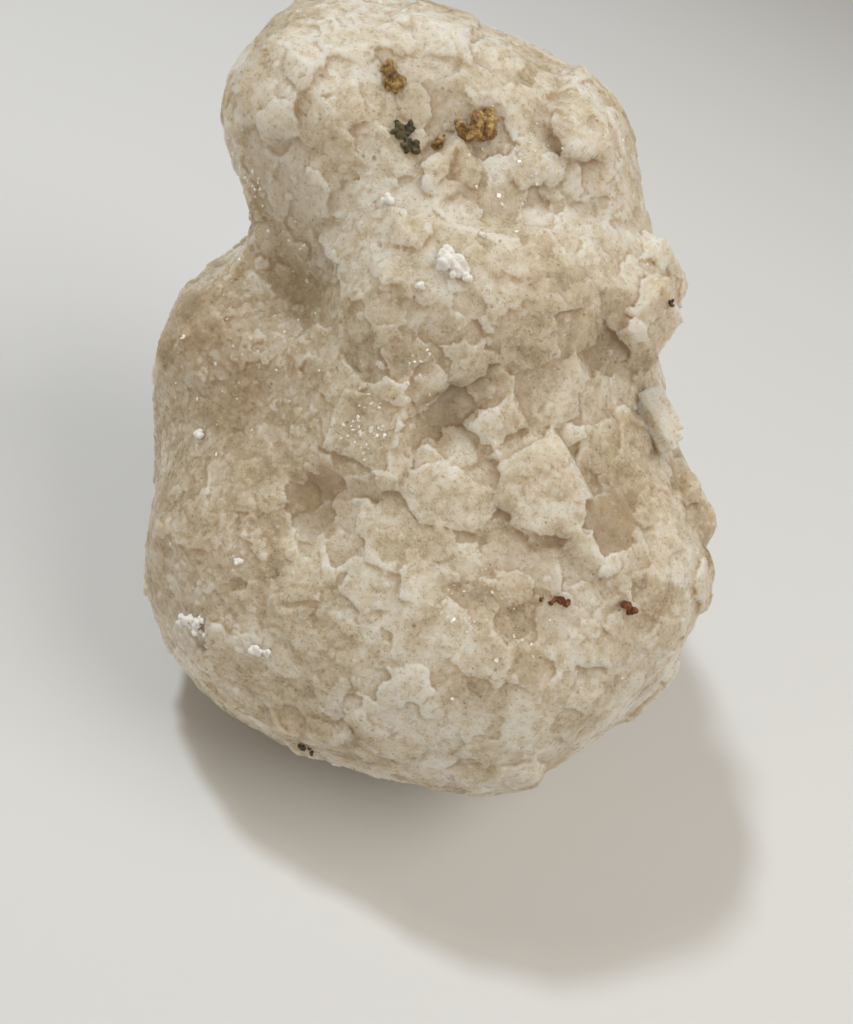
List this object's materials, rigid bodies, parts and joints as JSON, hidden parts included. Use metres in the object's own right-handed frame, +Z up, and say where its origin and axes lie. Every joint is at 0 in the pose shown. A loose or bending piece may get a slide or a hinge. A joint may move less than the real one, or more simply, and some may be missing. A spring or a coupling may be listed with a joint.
{
  "type": "halite cubic crystal",
  "caption": "Hand specimen of intergrown milky salt cubes, partly dissolved, resting on a flat foot, with clay in its hollows and white blooms.",
  "frame": {"origin": "centre of the footprint box, on the flat foot", "axes": "+Z up, the front of the specimen faces -Y, +X to its right"},
  "size_m": [0.0976, 0.095, 0.1042],
  "materials": {
    "halite": "milky translucent salt, sugary skin with a soft wet gloss",
    "brown_clay": "dry ochre clay, matt and crumbly",
    "dark_clay": "dark olive grey clay, matt",
    "rust": "rust red flake, matt",
    "salt_bloom": "powdery white salt, matt"
  },
  "bodies": {
    "root": {"halite_cluster": "halite", "clay_clot_amber": "brown_clay", "clay_clot_black": "dark_clay", "clay_clot_ochre": "brown_clay", "clay_clot_large": "brown_clay", "clay_sliver_corner": "dark_clay", "clay_sliver_cleft": "dark_clay", "clay_grain_rim": "dark_clay", "rust_flake": "rust", "salt_bloom_great": "salt_bloom", "salt_bloom_brow": "salt_bloom", "salt_bloom_crest": "salt_bloom", "salt_bloom_cheek": "salt_bloom", "salt_bloom_shoulder": "salt_bloom", "salt_bloom_flank": "salt_bloom", "salt_bloom_low": "salt_bloom", "salt_bloom_belly": "salt_bloom"}
  },
  "joints": []
}
